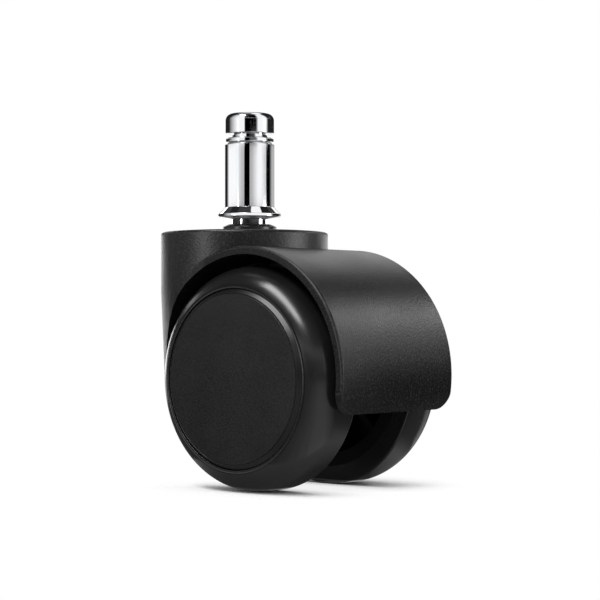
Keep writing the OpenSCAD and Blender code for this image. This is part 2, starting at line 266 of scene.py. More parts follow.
@dataclass(frozen=True)
class GrainedNylon:
    """Black moulded nylon with a fine spark-eroded grain."""

    name: str = "grained_nylon"
    dark: Triple = (0.003, 0.003, 0.0032)
    light: Triple = (0.021, 0.021, 0.0215)
    grain_size: float = 0.46
    grain_depth: float = 0.048
    speck_size: float = 0.37
    speck_share: float = 0.5
    specks: Range = (0.5, 0.74)
    patches: float = 60.0
    patch_share: float = 0.5
    gloss: Range = (0.335, 0.425)
    specular: float = 0.5
    side_y: Range = (18.66, 18.69)
    side_x: Range = (2.5, 4.0)
    side_grain: float = 0.15
    side_gloss: float = 0.10

    def make(self) -> Finish:
        """Mixes two sizes of noise for the relief, light specks in the colour and uneven gloss.

        The hood's flat sides, furthest out along Y and in front of the boss, have less grain and more gloss,
        and fewer light specks, which darkens their colour: painted shade.

        Returns:
            The material.
        """
        coat = Coat(self.name)
        where = coat.place()
        grains = coat.noise(where, 1.0 / (self.grain_size * MM), detail=1.0)
        specks = coat.noise(where, 1.0 / (self.speck_size * MM), detail=1.0)
        patches = coat.noise(where, self.patches, detail=3.0)
        axes = coat.axes(where)
        outer = coat.span(coat.sum("ABSOLUTE", axes["Y"], 0.0), metres(self.side_y))
        side = coat.sum("MULTIPLY", outer, coat.span(axes["X"], metres(self.side_x)))
        # On the flat sides the grain and the light specks fade; the fewer specks darken the colour there, a
        # painted shade
        kept = coat.span(side, (0.0, 1.0), (1.0, self.side_grain))
        light = coat.sum("MULTIPLY", coat.span(specks, self.specks), kept)
        coat.feed("Base Color", coat.tone(light, self.dark, self.light))
        rough = coat.span(coat.blend(specks, patches, self.patch_share), NOISE, self.gloss)
        coat.feed("Roughness", coat.sum("SUBTRACT", rough, coat.sum("MULTIPLY", side, self.side_gloss)))
        relief = coat.sum("ADD", grains, coat.sum("MULTIPLY", specks, self.speck_share))
        coat.bump(coat.sum("MULTIPLY", relief, kept), self.grain_depth)
        coat.feed("Specular IOR Level", self.specular)
        return coat.material


@dataclass(frozen=True)
class CapNylon:
    """Black moulded nylon with a finely grained face inside a smooth satin bevel."""

    name: str = "cap_nylon"
    dark: Triple = (0.003, 0.003, 0.0032)
    light: Triple = (0.0065, 0.0065, 0.0067)
    grain_size: float = 0.30
    grain_depth: float = 0.024
    grain_gloss: Range = (0.02, 0.09)
    patches: float = 90.0
    gloss: Range = (0.29, 0.35)
    specular: float = 0.45
    axle_x: float = 15.0
    axle_z: float = -37.7
    face_r: float = 17.9
    face_edge: float = 0.05

    def make(self) -> Finish:
        """Grains the face up to the fine line and leaves the bevel smooth.

        Returns:
            The material.
        """
        coat = Coat(self.name)
        where = coat.place()
        shift = (-self.axle_x * MM, 0.0, -self.axle_z * MM)
        from_axle = coat.length(coat.moved(shift, scale=(1.0, 0.0, 1.0)))
        face = coat.span(from_axle, metres((self.face_r - self.face_edge, self.face_r)), (1.0, 0.0))
        grains = coat.noise(where, 1.0 / (self.grain_size * MM), detail=3.0, roughness=0.65)
        patches = coat.noise(where, self.patches, detail=3.0)
        coat.feed("Base Color", coat.tone(coat.span(grains, NOISE), self.dark, self.light))
        rough = coat.sum("MULTIPLY", face, coat.span(grains, NOISE, self.grain_gloss))
        coat.feed("Roughness", coat.sum("ADD", coat.span(patches, NOISE, self.gloss), rough))
        coat.bump(coat.sum("MULTIPLY", grains, face), self.grain_depth)
        coat.feed("Specular IOR Level", self.specular)
        return coat.material


@dataclass(frozen=True)
class Moulding:
    """Plain black plastic or rubber: flow marks in its colour, uneven gloss and a faint skin."""

    name: str
    dark: Triple
    light: Triple
    gloss: Range
    flow: float = 200.0
    flow_roughness: float = 0.55
    skin: float = 4000.0
    skin_depth: float = 0.003
    skin_share: float = 0.5
    specular: float = 0.5

    def make(self) -> Finish:
        """Mixes a broad noise for the flow marks with a fine one for the skin.

        Returns:
            The material.
        """
        coat = Coat(self.name)
        where = coat.place()
        flow = coat.noise(where, self.flow, detail=3.0, roughness=self.flow_roughness)
        skin = coat.noise(where, self.skin)
        coat.feed("Base Color", coat.tone(flow, self.dark, self.light))
        coat.feed("Roughness", coat.span(coat.blend(flow, skin, self.skin_share), NOISE, self.gloss))
        coat.bump(skin, self.skin_depth)
        coat.feed("Specular IOR Level", self.specular)
        return coat.material


@dataclass(frozen=True)
class Metal:
    """Bright or dull metal with faint turning lines, along which its stretch is small."""

    name: str
    dark: Triple
    light: Triple
    gloss: Range
    relief: float
    stretch: Triple
    lines: float = 4000.0
    line_share: float = 0.5
    patches: float = 150.0

    def make(self) -> Finish:
        """Stretches fine noise into turning lines for the gloss and a faint relief.

        Returns:
            The material.
        """
        coat = Coat(self.name)
        lines = coat.noise(coat.moved(scale=self.stretch), self.lines, detail=3.0, roughness=0.6)
        patches = coat.noise(coat.place(), self.patches)
        coat.feed("Base Color", coat.tone(patches, self.dark, self.light))
        coat.feed("Roughness", coat.span(coat.blend(patches, lines, self.line_share), NOISE, self.gloss))
        coat.bump(lines, self.relief)
        coat.feed("Metallic", 1.0)
        return coat.material


TYRE_BLACK = Moulding(
    "tyre_black",
    dark=(0.006, 0.006, 0.0063),
    light=(0.010, 0.010, 0.0104),
    gloss=(0.20, 0.27),
    flow=120.0,
    flow_roughness=0.5,
    skin=5200.0,
    skin_depth=0.0022,
    skin_share=0.4,
    specular=0.55,
)
# The wheel core's colour is darker and its sheen weaker than the other plastics', so where it shows in the
# gap between the wheels it stays black: its own black and painted shade
CORE_NYLON = Moulding(
    "core_nylon", dark=(0.002, 0.002, 0.0021), light=(0.005, 0.005, 0.0052), gloss=(0.46, 0.60), specular=0.2
)
BLACK_ACETAL = Moulding(
    "black_acetal", dark=(0.006, 0.006, 0.0064), light=(0.010, 0.010, 0.0105), gloss=(0.22, 0.32)
)
CHROME = Metal(
    "chrome",
    dark=(0.80, 0.81, 0.83),
    light=(0.86, 0.87, 0.88),
    gloss=(0.035, 0.06),
    relief=0.0002,
    stretch=(0.05, 0.05, 1.0),
)
SPRING_STEEL = Metal(
    "spring_steel",
    dark=(0.30, 0.31, 0.33),
    light=(0.44, 0.45, 0.47),
    gloss=(0.28, 0.42),
    relief=0.002,
    stretch=(1.0, 1.0, 1.0),
)
STEEL = Metal(
    "steel",
    dark=(0.52, 0.53, 0.54),
    light=(0.64, 0.65, 0.66),
    gloss=(0.24, 0.36),
    relief=0.0015,
    stretch=(0.05, 1.0, 0.05),
)


@dataclass(frozen=True)
class Finishes:
    """Every finish on the caster, each made once."""

    housing: Finish = field(default_factory=GrainedNylon().make)
    cap: Finish = field(default_factory=CapNylon().make)
    tyre: Finish = field(default_factory=TYRE_BLACK.make)
    chrome: Finish = field(default_factory=CHROME.make)
    spring: Finish = field(default_factory=SPRING_STEEL.make)
    steel: Finish = field(default_factory=STEEL.make)
    core: Finish = field(default_factory=CORE_NYLON.make)
    acetal: Finish = field(default_factory=BLACK_ACETAL.make)


@dataclass(frozen=True)
class Profile:
    """A turned outline: distances from the axis and heights along it, with the surface's normals."""

    points: Array
    normals: Array
    closed: bool

    @classmethod
    def rounded(cls, corners: list[Triple], closed: bool) -> "Profile":
        """Rounds each corner with an arc tangent to both of its sides.

        With unit vectors a and b from a corner to its neighbours and the angle w between them, the arc of
        radius r has its centre r / sin(w / 2) along the bisector, and touches both sides r / tan(w / 2) away.
        The normal, to the left of the way round, turns evenly along it from one side's to the other's.

        Args:
            corners: distance from the axis, height and radius of each corner, in millimetres.
            closed: whether the last corner joins the first; an open outline starts and ends on the axis.

        Returns:
            The outline with its normals.
        """
        given = np.array(corners, float)
        spots = given[:, :2]
        radii = np.maximum(given[:, 2], LEAST_RADIUS)
        a = unit(np.roll(spots, 1, axis=0) - spots)
        b = unit(np.roll(spots, -1, axis=0) - spots)
        half = 0.5 * np.arccos(np.clip((a * b).sum(1), -1.0, 1.0))
        centre = spots + unit(a + b) * (radii / np.sin(half))[:, None]
        sign = np.sign(-a[:, 0] * b[:, 1] + a[:, 1] * b[:, 0])
        turn = sign * (np.pi - 2.0 * half)
        start = np.stack([a[:, 1], -a[:, 0]], axis=1)
        steps = np.abs(turn) * (ARC_STEPS + RADIUS_STEPS * radii)
        counts = np.clip(np.ceil(steps), FEWEST_STEPS, MOST_STEPS).astype(int)
        points, normals = [], []
        for i in range(len(spots)) if closed else range(1, len(spots) - 1):
            angle = turn[i] * np.linspace(0.0, 1.0, counts[i])
            cos, sin = np.cos(angle), np.sin(angle)
            x, y = start[i]
            normal = np.stack([x * cos - y * sin, x * sin + y * cos], axis=1)
            points.append(centre[i] - sign[i] * radii[i] * normal)
            normals.append(normal)
        if not closed:
            points = [spots[:1], *points, spots[-1:]]
            normals = [normals[0][:1], *normals, normals[-1][-1:]]
        return cls(np.concatenate(points), np.concatenate(normals), closed)


@dataclass(frozen=True)
class Placement:
    """Where a turned shape's own X, Y and Z go: three unit vectors and a point, in millimetres."""

    across: Triple = (1.0, 0.0, 0.0)
    aside: Triple = (0.0, 1.0, 0.0)
    along: Triple = (0.0, 0.0, 1.0)
    origin: Triple = (0.0, 0.0, 0.0)

    def turn(self, vectors: Array) -> Array:
        """Turns vectors from the shape's own axes to the caster's."""
        return vectors @ np.array([self.across, self.aside, self.along])

    def put(self, points: Array) -> Array:
        """Turns and moves points from the shape's own frame to the caster's."""
        return self.turn(points) + np.array(self.origin)


@dataclass(frozen=True)
class Skin:
    """A finished surface: points in millimetres, their normals and the faces between them."""

    points: Array
    normals: Array
    faces: list[list[int]]

    def piece(self, name: str, finish: Finish) -> Piece:
        """Makes the surface an object in metres.

        Args:
            name: the object's name.
            finish: its material.

        Returns:
            The object, in the scene.
        """
        mesh = bpy.data.meshes.new(name)
        mesh.from_pydata((self.points * MM).tolist(), [], self.faces)
        mesh.polygons.foreach_set("use_smooth", np.ones(len(self.faces), bool))
        mesh.materials.append(finish)
        mesh.update()
        mesh.normals_split_custom_set_from_vertices(self.normals.tolist())
        return placed(name, mesh)


def swept(pairs: Array, angles: Array) -> Array:
    """Carries pairs of distance r and height h to (r cos t, r sin t, h) for every angle t.

    Args:
        pairs: distances from the axis and heights, one pair a row.
        angles: the angles, in radians.

    Returns:
        The points, by pair, angle and axis.
    """
    ring = np.stack([np.cos(angles), np.sin(angles)], axis=1)
    flat = pairs[:, None, 0, None] * ring[None]
    tall = np.broadcast_to(pairs[:, None, 1, None], (len(pairs), len(angles), 1))
    return np.concatenate([flat, tall], axis=2)


def turned(profile: Profile, placement: Placement, segments: int) -> Skin:
    """Turns an outline round its axis.

    A point at distance r and height h becomes (r cos t, r sin t, h) for every angle t. Where an open outline
    meets the axis, a fan of triangles closes it on one point.

    Args:
        profile: the outline.
        placement: where the shape goes.
        segments: steps round the axis.

    Returns:
        The surface.
    """
    angles = np.linspace(0.0, 2.0 * np.pi, segments, endpoint=False)
    inner = slice(None) if profile.closed else slice(1, -1)
    points = swept(profile.points[inner], angles).reshape(-1, 3)
    normals = swept(profile.normals[inner], angles).reshape(-1, 3)
    count = len(points) // segments
    row = np.arange(count if profile.closed else count - 1)[:, None]
    column = np.arange(segments)[None]
    below, beside = (row + 1) % count, (column + 1) % segments
    quads = np.stack([row * segments + column, below * segments + column,
                      below * segments + beside, row * segments + beside], axis=2).reshape(-1, 4)
    faces = quads.tolist()
    if not profile.closed:
        first, last = len(points), len(points) + 1
        end = (count - 1) * segments
        tips = [[0.0, 0.0, profile.points[0, 1]], [0.0, 0.0, profile.points[-1, 1]]]
        points = np.concatenate([points, tips])
        normals = np.concatenate([normals, [[0.0, 0.0, 1.0], [0.0, 0.0, -1.0]]])
        faces += np.stack([np.full(segments, first), column[0], beside[0]], axis=1).tolist()
        faces += np.stack([end + column[0], np.full(segments, last), end + beside[0]], axis=1).tolist()
    return Skin(placement.put(points), placement.turn(normals), faces)


def split_band(profile: Profile, gap: float, gap_at: float, segments: int) -> Skin:
    """Carries a closed outline along part of a circle, and closes both ends.

    A point at distance r and height h becomes (r cos t, r sin t, h), with t from side to side of the gap.

    Args:
        profile: the closed outline.
        gap: the gap's angle, in degrees.
        gap_at: the direction the gap faces, in degrees.
        segments: steps along the arc.

    Returns:
        The surface, whose flat ends have points of their own.
    """
    angles = np.radians(np.linspace(gap_at + gap / 2, gap_at + 360.0 - gap / 2, segments))
    body, tilt = swept(profile.points, angles), swept(profile.normals, angles)
    count = len(profile.points)
    row = np.arange(count)[:, None]
    column = np.arange(segments - 1)[None]
    below = (row + 1) % count
    quads = np.stack([row * segments + column, below * segments + column,
                      below * segments + column + 1, row * segments + column + 1], axis=2).reshape(-1, 4)
    start = count * segments
    faces = quads.tolist()
    faces.append(list(range(start, start + count)))
    faces.append(list(range(start + 2 * count - 1, start + count - 1, -1)))
    ends = np.concatenate([body[:, 0], body[:, -1]])
    first, last = angles[0], angles[-1]
    out = np.array([[np.sin(first), -np.cos(first), 0.0], [-np.sin(last), np.cos(last), 0.0]])
    points = np.concatenate([body.reshape(-1, 3), ends])
    normals = np.concatenate([tilt.reshape(-1, 3), np.repeat(out, count, axis=0)])
    return Skin(points, normals, faces)


def dress(nodes: list[str], finish: Finish) -> None:
    """Gives CAD nodes a finish in place of their plain one.

    Args:
        nodes: the nodes' names.
        finish: their material.
    """
    for name in nodes:
        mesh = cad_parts[name].data
        mesh.materials.clear()
        mesh.materials.append(finish)
        log.info("dressed %s in %s", name, finish.name)


def settle(piece: Piece, body: Body, node: str) -> None:
    """Puts a new piece in its CAD node's place.

    Args:
        piece: the new piece.
        body: the CAD body it rides on.
        node: the CAD node it stands for.
    """
    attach(piece, body.value)
    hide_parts(node)
    log.info("built %s for %s, %d faces", piece.name, node, len(piece.data.polygons))


@dataclass
class Stem:
    """The turned stem, its grip ring and its clip."""

    top: float = 21.1
    head_r: float = 5.45
    head_edge: float = 1.5
    head_bottom: float = 16.5
    groove_r: float = 3.9
    shank_r: float = 5.55
    shank_top: float = 14.4
    shank_chamfer: float = 0.3
    collar_r: float = 7.1
    rim_lean: float = 0.08
    cone_bottom: float = -1.5
    rim_bottom: float = -2.2
    collar_bottom: float = -2.6
    journal_r: float = 4.0
    clip_r: float = 3.2
    clip_top: float = -23.9
    clip_bottom: float = -24.9
    tip: float = -33.0
    tip_chamfer: float = 1.0
    ring_r: float = 5.35
    ring_h: float = 1.2
    ring_edge: float = 0.3
    ring_gap: float = 24.0
    ring_gap_at: float = 135.0
    turned_edge: float = 0.14
    rim_edge: float = 0.15
    broken_edge: float = 0.1
    sharp_edge: float = 0.04
    segments: int = 192
    ring_segments: int = 160

    def turning(self) -> Skin:
        """Turns the stem's outline from the middle of its head down to its tip.

        Returns:
            The surface.
        """
        outline = Profile.rounded([
            (0.0, self.top, 0.0),
            (self.head_r, self.top, self.head_edge),
            (self.head_r, self.head_bottom, self.turned_edge),
            (self.groove_r, self.head_bottom, self.turned_edge),
            (self.groove_r, self.shank_top, self.turned_edge),
            (self.shank_r - self.shank_chamfer, self.shank_top, self.turned_edge),
            (self.shank_r, self.shank_top - self.shank_chamfer, self.turned_edge),
            (self.shank_r, 0.0, self.broken_edge),
            (self.collar_r - self.rim_lean, self.cone_bottom, self.broken_edge),
            (self.collar_r, self.rim_bottom, self.rim_edge),
            (self.journal_r, self.collar_bottom, self.rim_edge),
            (self.journal_r, self.clip_top, self.sharp_edge),
            (self.clip_r, self.clip_top, self.sharp_edge),
            (self.clip_r, self.clip_bottom, self.sharp_edge),
            (self.journal_r, self.clip_bottom, self.sharp_edge),
            (self.journal_r, self.tip + self.tip_chamfer, self.broken_edge),
            (self.journal_r - self.tip_chamfer, self.tip, self.broken_edge),
            (0.0, self.tip, 0.0),
        ], closed=False)
        return turned(outline, Placement(), self.segments)

    def band(self) -> Skin:
        """Carries the split ring's rounded section round its groove.

        Returns:
            The surface.
        """
        low, high = self.shank_top, self.shank_top + self.ring_h
        outline = Profile.rounded([
            (self.groove_r, high, self.broken_edge),
            (self.ring_r, high, self.ring_edge),
            (self.ring_r, low, self.ring_edge),
            (self.groove_r, low, self.broken_edge),
        ], closed=True)
        return split_band(outline, self.ring_gap, self.ring_gap_at, self.ring_segments)

    def build(self, finishes: Finishes) -> None:
        """Builds the stem's pieces and dresses its clip.

        Args:
            finishes: every finish on the caster.
        """
        turning = self.turning().piece("stem_turning", finishes.chrome)
        settle(turning, Body.STEM, "stem")
        band = self.band().piece("grip_band", finishes.chrome)
        settle(band, Body.STEM, "grip_ring")
        dress(["stem_clip"], finishes.spring)


@dataclass
class Housing:
    """The moulded housing, its swivel bush and thrust pad."""

    bush_ir: float = 4.06
    bush_or: float = 5.21
    neck_r: float = 4.75
    neck_top: float = -3.8
    flange_r: float = 6.05
    flange_top: float = -4.35
    boss_top: float = -5.6
    bush_end: float = -23.6
    mouth_edge: float = 0.15
    soft_edge: float = 0.25
    flange_edge: float = 0.1
    seat_edge: float = 0.02
    end_edge: float = 0.2
    segments: int = 160

    def bush(self) -> Skin:
        """Turns the bush's section with its low neck and flange.

        Returns:
            The surface.
        """
        outline = Profile.rounded([
            (self.bush_ir, self.neck_top, self.mouth_edge),
            (self.neck_r, self.neck_top, self.soft_edge),
            (self.flange_r, self.flange_top, self.soft_edge),
            (self.flange_r, self.boss_top, self.flange_edge),
            (self.bush_or, self.boss_top, self.seat_edge),
            (self.bush_or, self.bush_end, self.end_edge),
            (self.bush_ir, self.bush_end, self.end_edge),
        ], closed=True)
        return turned(outline, Placement(), self.segments)

    def build(self, finishes: Finishes) -> None:
        """Builds the bush and dresses the moulding and the pad.

        Args:
            finishes: every finish on the caster.
        """
        bush = self.bush().piece("swivel_bushing", finishes.acetal)
        settle(bush, Body.SWIVEL, "swivel_bush")
        dress(["housing"], finishes.housing)
        dress(["thrust_pad"], finishes.steel)


@dataclass
class AxleSet:
    """The axle with its washers and clips, which keep their CAD shapes."""

    axle: str = "axle"
    washers: tuple[str, ...] = ("inner_washer", "outer_washer")
    clip: str = "axle_clip"

    def build(self, finishes: Finishes) -> None:
        """Dresses the metal pieces on the axle.

        Args:
            finishes: every finish on the caster.
        """
        dress([self.axle], finishes.steel)
        for side in Side:
            dress([f"{side.label}_{washer}" for washer in self.washers], finishes.steel)
            dress([f"{side.label}_{self.clip}"], finishes.spring)


@dataclass
class Wheel:
    """One wheel: tyre and hub cap as fine turnings, core and bush as the CAD made them."""

    side: Side
    axle_x: float = 15.0
    axle_z: float = -37.7
    tread_r: float = 24.0
    core_r: float = 20.0
    inside: float = 9.2
    outside: float = 22.2
    shoulder: float = 7.4
    shoulder_start: float = 19.86
    hair: float = 0.001
    valley_r: float = 19.45
    valley_h: float = 21.36
    valley_edge: float = 0.35
    lip_r: float = 19.15
    lip_top: float = 21.5
    tread_edge: float = 0.5
    key_h: float = 1.0
    key_w: float = 2.0
    cap_back: float = 20.2
    cap_face: float = 22.0
    cap_r: float = 19.05
    face_r: float = 18.15
    bevel_h: float = 0.8
    line_w: float = 0.25
    line_h: float = 0.15
    skirt_r: float = 17.05
    skirt_t: float = 1.5
    skirt_h: float = 2.2
    shoulder_edge: float = 0.25
    rim_edge: float = 0.12
    fine_edge: float = 0.05
    line_edge: float = 0.04
    bevel_edge: float = 0.07
    skirt_edge: float = 0.15
    root_edge: float = 0.1
    hidden_edge: float = 0.03
    segments: int = 288

    @property
    def body(self) -> Body:
        """The CAD body of this wheel."""
        return Body(f"{self.side.label}_wheel")

    @property
    def placement(self) -> Placement:
        """Where the wheel goes.

        Returns:
            The axle's frame, with its height pointing out of the caster on this side.
        """
        origin = (self.axle_x, 0.0, self.axle_z)
        if self.side is Side.RIGHT:
            return Placement((1.0, 0.0, 0.0), (0.0, 0.0, 1.0), (0.0, -1.0, 0.0), origin)
        return Placement((0.0, 0.0, 1.0), (1.0, 0.0, 0.0), (0.0, 1.0, 0.0), origin)

    def tyre(self) -> Skin:
        """Turns the tyre's section: lip, valley, round shoulder, tread, inner edge and key groove.

        The shoulder is an arc about a centre one shoulder radius in from the tread and the outer side. The
        corner that it rounds is where its tangent at its start meets the tread. It is made a hair tighter, so
        that it stays between its neighbours.

        Returns:
            The surface.
        """
        centre_r, centre_h = self.tread_r - self.shoulder, self.outside - self.shoulder
        start = np.arcsin((self.shoulder_start - centre_r) / self.shoulder)
        start_h = centre_h + self.shoulder * np.cos(start)
        reach = self.shoulder * np.tan((np.pi / 2 - start) / 2)
        corner_h = start_h - reach * np.sin(start)
        key_middle = (self.inside + self.outside - self.shoulder) / 2
        key_low, key_high = key_middle - self.key_w / 2, key_middle + self.key_w / 2
        key_r = self.core_r + self.key_h
        outline = Profile.rounded([
            (self.lip_r, self.lip_top, self.rim_edge),
            (self.valley_r, self.valley_h, self.valley_edge),
            (self.shoulder_start, start_h, self.shoulder_edge),
            (self.shoulder_start + reach * np.cos(start), corner_h, self.shoulder - self.hair),
            (self.tread_r, self.inside, self.tread_edge),
            (self.core_r, self.inside, self.fine_edge),
            (self.core_r, key_low, self.hidden_edge),
            (key_r, key_low, self.hidden_edge),
            (key_r, key_high, self.hidden_edge),
            (self.core_r, key_high, self.hidden_edge),
            (self.core_r, self.cap_back, self.hidden_edge),
            (self.lip_r, self.cap_back, self.hidden_edge),
        ], closed=True)
        return turned(outline, self.placement, self.segments)

    def cap(self) -> Skin:
        """Turns the cap's section: grained face, fine line, bevel, edge and snap skirt.

        Returns:
            The surface.
        """
        line_r, line_bottom = self.face_r - self.line_w, self.cap_face - self.line_h
        inner, low = self.skirt_r - self.skirt_t, self.cap_back - self.skirt_h
        outline = Profile.rounded([
            (0.0, self.cap_face, 0.0),
            (line_r, self.cap_face, self.fine_edge),
            (line_r, line_bottom, self.line_edge),
            (self.face_r, line_bottom, self.line_edge),
            (self.face_r, self.cap_face, self.bevel_edge),
            (self.cap_r, self.cap_face - self.bevel_h, self.rim_edge),
            (self.cap_r, self.cap_back, self.fine_edge),
            (self.skirt_r, self.cap_back, self.hidden_edge),
            (self.skirt_r, low, self.skirt_edge),
            (inner, low, self.skirt_edge),
            (inner, self.cap_back, self.root_edge),
            (0.0, self.cap_back, 0.0),
        ], closed=False)
        return turned(outline, self.placement, self.segments)

    def build(self, finishes: Finishes) -> None:
        """Builds the tyre and cap and dresses the core and bush.

        Args:
            finishes: every finish on the caster.
        """
        label = self.side.label
        tread = self.tyre().piece(f"{label}_tread", finishes.tyre)
        settle(tread, self.body, f"{label}_tyre")
        cap = self.cap().piece(f"{label}_cap", finishes.cap)
        settle(cap, self.body, f"{label}_hub_cap")
        dress([f"{label}_wheel_core"], finishes.core)
        dress([f"{label}_wheel_bush"], finishes.acetal)


@dataclass(frozen=True)
class SoftBox:
    """A rectangular lamp that faces the caster from a direction in degrees."""

    name: str
    turn: float
    rise: float
    away: float
    size: Range
    radiance: float


@dataclass(frozen=True)
class TopBox:
    """A rectangular lamp that hangs level over the caster.

    Its middle is off the caster's towards the camera, to the camera's right and up. Its length points towards
    the camera, turned to the right by its spin in degrees.
    """

    name: str
    ahead: float
    right: float
    height: float
    spin: float
    size: Range
    radiance: float


@dataclass(frozen=True)
class Card:
    """Part of a sphere round the caster that only reflections see, with its sides and edges in degrees."""

    name: str
    turns: Range
    rises: Range
    away: float
    brightness: float
    blocks: bool = False


@dataclass(frozen=True)
class FloorFlag:
    """A sector just over the floor that only reflections see.

    Its brightness goes evenly from the inner one at its inner reach to its own at its reach. Its lift is in
    millimetres.
    """

    name: str
    turns: Range
    reach: float
    brightness: float
    inner_brightness: float
    inner_reach: float = 0.0
    lift: float = 0.4


@dataclass(frozen=True)
class Stripe:
    """An even stretch of a ring of cards between two turns in degrees, which fades into the next one."""

    start: float
    end: float
    brightness: float

    def seen_close(self, share: float) -> "Stripe":
        """The same stripe on a ring that stands close to the stem.

        A mirror ray of direction t leaves the stem at the turn t / 2, so it meets a ring of 1 / share times
        the stem's radius at t - arcsin(share sin(t / 2)).

        Args:
            share: the stem's radius over the ring's.

        Returns:
            The stripe with its ends moved.
        """
        turns = np.radians([self.start, self.end])
        start, end = np.degrees(turns - np.arcsin(share * np.sin(turns / 2)))
        return Stripe(float(start), float(end), self.brightness)


@dataclass(frozen=True)
class Ring:
    """A ring of cards round the stem that only reflections see, between two heights in millimetres."""

    name: str
    heights: Range
    stripes: tuple[Stripe, ...]
    away: float = 0.6


ALL_ROUND = (-180.0, 180.0)
SHANK_STRIPES = (
    Stripe(-180.0, -128.0, 0.015),
    Stripe(-110.0, -68.0, 1.0),
    Stripe(-34.0, -25.0, 0.5),
    Stripe(-23.0, 0.0, 0.0),
    Stripe(2.0, 10.0, 0.46),
    Stripe(40.0, 56.0, 0.97),
    Stripe(76.0, 82.0, 0.55),
    Stripe(85.0, 108.0, 0.0),
    Stripe(128.0, 180.0, 0.45),
)
HEAD_STRIPES = (
    Stripe(-180.0, -112.0, 0.015),
    Stripe(-62.0, -24.0, 0.95),
    Stripe(-22.0, 32.0, 0.0),
    Stripe(43.0, 84.0, 0.95),
    Stripe(97.0, 180.0, 0.015),
)
# The crown's ring is so close that its stripes have to move to line up with the head's
CROWN_AWAY = 0.022
CROWN_STRIPES = tuple(stripe.seen_close(Stem.head_r * MM / CROWN_AWAY) for stripe in HEAD_STRIPES)
RINGS = (
    Ring("shank_cards", (36.0, 73.0), SHANK_STRIPES),
    Ring("head_cards", (73.0, 140.0), HEAD_STRIPES),
    Ring("crown_cards", (23.7, 50.0), CROWN_STRIPES, away=CROWN_AWAY),
    Ring("collar_cards", (142.0, 225.0), (Stripe(*ALL_ROUND, 0.95),)),
)
KEY_BOX = TopBox("key_box", ahead=0.42, right=-0.23, height=0.62, spin=14.0, size=(0.76, 0.2), radiance=12.0)
SOFT_BOXES = (
    SoftBox("side_box", turn=113.0, rise=30.0, away=0.6, size=(0.2, 0.12), radiance=5.0),
    SoftBox("left_strip", turn=-56.0, rise=6.0, away=0.65, size=(0.088, 0.24), radiance=10.0),
    SoftBox("right_strip", turn=77.0, rise=6.0, away=0.65, size=(0.24, 0.28), radiance=9.0),
)
CARDS = (
    Card("horizon_flag", (-136.0, 128.0), (-5.0, 8.0), away=0.9, brightness=0.015),
    Card("upper_flag", (-150.0, 153.0), (3.0, 72.0), away=0.95, brightness=0.05),
    Card("zenith_flag", ALL_ROUND, (72.0, 90.0), away=0.95, brightness=0.05),
    Card("high_right_card", (60.0, 160.0), (62.0, 87.0), away=0.85, brightness=1.1),
    Card("low_flag", (60.0, 130.0), (-18.0, 5.0), away=0.1, brightness=0.05, blocks=True),
    Card("left_rim", (-175.0, -136.0), (-6.0, 1.0), away=0.9, brightness=2.8),
    Card("left_upper_rim", (-178.0, -150.0), (1.0, 30.0), away=0.9, brightness=3.2),
    Card("right_rim", (128.0, 175.0), (-8.0, 6.0), away=0.9, brightness=2.4),
    Card("back_card", (153.0, 200.0), (8.0, 45.0), away=0.9, brightness=1.2),
)
FRONT_REACH = 0.85
FRONT_TURNS = (-125.0, -45.0, -14.0, -5.0, 4.0, 13.0, 36.0, 45.0, 54.0, 100.0, 128.0)
FRONT_TONES = (0.08, 0.14, 0.24, 0.36, 0.5, 0.68, 0.48, 0.28, 0.08, 0.6)
FRONT_FLAGS = tuple(
    FloorFlag(f"floor_flag_{end:.0f}", (start, end), FRONT_REACH, tone, inner_brightness=tone)
    for start, end, tone in zip(FRONT_TURNS, FRONT_TURNS[1:], FRONT_TONES)
)
CONTACT_REACH = 0.0285
FLOOR_FLAGS = (
    *FRONT_FLAGS,
    # The contact flag is darkest right under the caster and lightens outwards: a painted shadow, which
    # reflections show in place of the floor's own
    FloorFlag("contact_shadow_flag", ALL_ROUND, reach=CONTACT_REACH, brightness=0.40, inner_brightness=0.05,
              inner_reach=0.018, lift=1.0),
    FloorFlag("contact_fade", (54.0, 180.0), reach=0.038, brightness=0.08, inner_brightness=0.42,
              inner_reach=CONTACT_REACH, lift=0.7),
    FloorFlag("back_floor_flag", (128.0, 235.0), reach=0.2, brightness=0.1, inner_brightness=0.1),
)


def sheet(name: str, points: Array, finish: Finish) -> Piece:
    """Joins a grid of points into a sheet of quads.

    Args:
        name: the object's name.
        points: the points in metres, by row, column and axis.
        finish: its material.

    Returns:
        The object, in the scene.
    """
    rows, columns = points.shape[:2]
    corner = (np.arange(rows - 1)[:, None] * columns + np.arange(columns - 1)).ravel()
    quads = np.stack([corner, corner + 1, corner + columns + 1, corner + columns], axis=1)
    mesh = bpy.data.meshes.new(name)
    mesh.from_pydata(points.reshape(-1, 3).tolist(), [], quads.tolist())
    mesh.materials.append(finish)
    made = placed(name, mesh)
    return made


